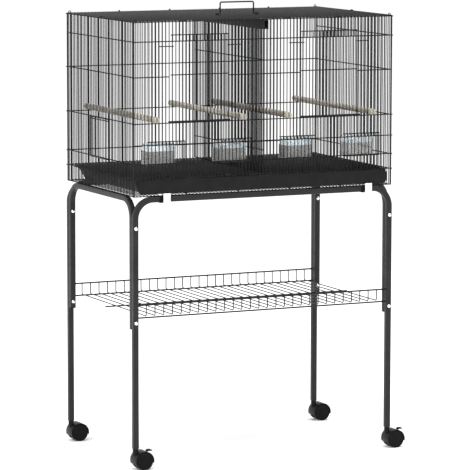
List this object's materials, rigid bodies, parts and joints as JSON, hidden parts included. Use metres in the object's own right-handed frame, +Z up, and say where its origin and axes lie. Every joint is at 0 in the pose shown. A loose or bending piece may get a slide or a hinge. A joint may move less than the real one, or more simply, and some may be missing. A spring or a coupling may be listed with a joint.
{
  "type": "bird cage on stand",
  "caption": "Wire flight cage with sliding doors, feeder cups, perches, divider and pull-out tray on a tubular stand with a wire shelf and casters.",
  "frame": {"origin": "on the floor under the middle of the whole outline; the legs' centre is 17.5 mm towards -X because all four casters trail towards +X", "axes": "+X to the cage's right as seen from the front, +Y from the front doors to the rear wall, +Z up"},
  "size_m": [0.8096, 0.492, 1.2255],
  "materials": {
    "frame_paint": "satin dark grey powder coat",
    "shelf_paint": "satin dark grey powder coat on wire",
    "wire_paint": "satin black-grey powder coat on wire",
    "bolt_chrome": "bright zinc or chrome plating",
    "plug_plastic": "moulded black",
    "clip_plastic": "moulded white",
    "saddle_rubber": "matt black",
    "hood_plastic": "moulded black, fine grain",
    "lever_plastic": "moulded black",
    "wheel_plastic": "moulded black",
    "axle_steel": "plain steel",
    "tray_plastic": "vacuum formed black, fine grain",
    "rail_plastic": "extruded black",
    "cup_plastic": "moulded milky white",
    "clear_plastic": "clear plastic with a faint blue tint",
    "perch_wood": "plain unvarnished dowel"
  },
  "bodies": {
    "stand_and_cage": {"front_tube": "frame_paint", "rear_tube": "frame_paint", "left_side_tube": "frame_paint", "right_side_tube": "frame_paint", "frame_bolts": "bolt_chrome", "frame_nuts": "bolt_chrome", "short_leg_plugs": "plug_plastic", "caster_sockets": "plug_plastic", "shelf_floor": "shelf_paint", "shelf_front_rim": "shelf_paint", "shelf_rear_rim": "shelf_paint", "cage_clips": "clip_plastic", "clip_saddles": "saddle_rubber", "front_panel": "wire_paint", "rear_panel": "wire_paint", "left_panel": "wire_paint", "right_panel": "wire_paint", "roof_panel": "wire_paint", "bottom_frame": "wire_paint", "floor_grate": "wire_paint", "corner_loops": "wire_paint", "door_guides": "wire_paint", "handle_eyelets": "wire_paint", "divider_rail": "rail_plastic", "feeder_cup_1": "cup_plastic", "feeder_cup_2": "cup_plastic", "feeder_cup_3": "cup_plastic", "feeder_cup_4": "cup_plastic", "cup_hoods": "clear_plastic", "perch_1": "perch_wood", "perch_2": "perch_wood", "perch_3": "perch_wood", "perch_4": "perch_wood"},
    "swivel_front_left": {"caster_hood_front_left": "hood_plastic"},
    "roll_front_left": {"caster_wheels_front_left": "wheel_plastic", "caster_axle_front_left": "axle_steel"},
    "brake_front_left": {"brake_lever_front_left": "lever_plastic"},
    "swivel_front_right": {"caster_hood_front_right": "hood_plastic"},
    "roll_front_right": {"caster_wheels_front_right": "wheel_plastic", "caster_axle_front_right": "axle_steel"},
    "brake_front_right": {"brake_lever_front_right": "lever_plastic"},
    "swivel_rear_left": {"caster_hood_rear_left": "hood_plastic"},
    "roll_rear_left": {"caster_wheels_rear_left": "wheel_plastic", "caster_axle_rear_left": "axle_steel"},
    "swivel_rear_right": {"caster_hood_rear_right": "hood_plastic"},
    "roll_rear_right": {"caster_wheels_rear_right": "wheel_plastic", "caster_axle_rear_right": "axle_steel"},
    "tray": {"tray": "tray_plastic"},
    "front_door_left": {"front_door_left": "wire_paint"},
    "front_door_right": {"front_door_right": "wire_paint"},
    "feeder_door_1": {"feeder_door_1": "wire_paint"},
    "feeder_door_2": {"feeder_door_2": "wire_paint"},
    "feeder_door_3": {"feeder_door_3": "wire_paint"},
    "feeder_door_4": {"feeder_door_4": "wire_paint"},
    "side_door_left": {"side_door_left": "wire_paint"},
    "side_door_right": {"side_door_right": "wire_paint"},
    "divider": {"divider_panel": "wire_paint"},
    "handle": {"handle": "wire_paint"}
  },
  "joints": [
    {"name": "swivel_front_left", "type": "hinge", "parent": "stand_and_cage", "child": "swivel_front_left", "pos_m": [-0.39375, -0.225, 0.057], "axis": [0, 0, 1], "continuous": true},
    {"name": "roll_front_left", "type": "hinge", "parent": "swivel_front_left", "child": "roll_front_left", "pos_m": [-0.37425, -0.225, 0.024], "axis": [0, 1, 0], "continuous": true},
    {"name": "brake_front_left", "type": "hinge", "parent": "swivel_front_left", "child": "brake_front_left", "pos_m": [-0.36035, -0.225, 0.0501], "axis": [0, 1, 0], "range_deg": [0, 20]},
    {"name": "swivel_front_right", "type": "hinge", "parent": "stand_and_cage", "child": "swivel_front_right", "pos_m": [0.35875, -0.225, 0.057], "axis": [0, 0, 1], "continuous": true},
    {"name": "roll_front_right", "type": "hinge", "parent": "swivel_front_right", "child": "roll_front_right", "pos_m": [0.37825, -0.225, 0.024], "axis": [0, 1, 0], "continuous": true},
    {"name": "brake_front_right", "type": "hinge", "parent": "swivel_front_right", "child": "brake_front_right", "pos_m": [0.39215, -0.225, 0.0501], "axis": [0, 1, 0], "range_deg": [0, 20]},
    {"name": "swivel_rear_left", "type": "hinge", "parent": "stand_and_cage", "child": "swivel_rear_left", "pos_m": [-0.39375, 0.225, 0.057], "axis": [0, 0, 1], "continuous": true},
    {"name": "roll_rear_left", "type": "hinge", "parent": "swivel_rear_left", "child": "roll_rear_left", "pos_m": [-0.37425, 0.225, 0.024], "axis": [0, 1, 0], "continuous": true},
    {"name": "swivel_rear_right", "type": "hinge", "parent": "stand_and_cage", "child": "swivel_rear_right", "pos_m": [0.35875, 0.225, 0.057], "axis": [0, 0, 1], "continuous": true},
    {"name": "roll_rear_right", "type": "hinge", "parent": "swivel_rear_right", "child": "roll_rear_right", "pos_m": [0.37825, 0.225, 0.024], "axis": [0, 1, 0], "continuous": true},
    {"name": "tray_slide", "type": "slide", "parent": "stand_and_cage", "child": "tray", "axis": [0, -1, 0], "range_m": [0, 0.4]},
    {"name": "front_door_left_slide", "type": "slide", "parent": "stand_and_cage", "child": "front_door_left", "axis": [0, 0, 1], "range_m": [0, 0.19]},
    {"name": "front_door_right_slide", "type": "slide", "parent": "stand_and_cage", "child": "front_door_right", "axis": [0, 0, 1], "range_m": [0, 0.19]},
    {"name": "feeder_door_1_slide", "type": "slide", "parent": "stand_and_cage", "child": "feeder_door_1", "axis": [0, 0, 1], "range_m": [0, 0.045]},
    {"name": "feeder_door_2_slide", "type": "slide", "parent": "stand_and_cage", "child": "feeder_door_2", "axis": [0, 0, 1], "range_m": [0, 0.045]},
    {"name": "feeder_door_3_slide", "type": "slide", "parent": "stand_and_cage", "child": "feeder_door_3", "axis": [0, 0, 1], "range_m": [0, 0.045]},
    {"name": "feeder_door_4_slide", "type": "slide", "parent": "stand_and_cage", "child": "feeder_door_4", "axis": [0, 0, 1], "range_m": [0, 0.045]},
    {"name": "side_door_left_slide", "type": "slide", "parent": "stand_and_cage", "child": "side_door_left", "axis": [0, 0, 1], "range_m": [0, 0.1]},
    {"name": "side_door_right_slide", "type": "slide", "parent": "stand_and_cage", "child": "side_door_right", "axis": [0, 0, 1], "range_m": [0, 0.1]},
    {"name": "divider_slide", "type": "slide", "parent": "stand_and_cage", "child": "divider", "axis": [0, 0, 1], "range_m": [0, 0.012]},
    {"name": "handle_fold", "type": "hinge", "parent": "stand_and_cage", "child": "handle", "pos_m": [-0.0175, -0.052, 1.1913], "axis": [1, 0, 0], "range_deg": [-80, 80]}
  ]
}
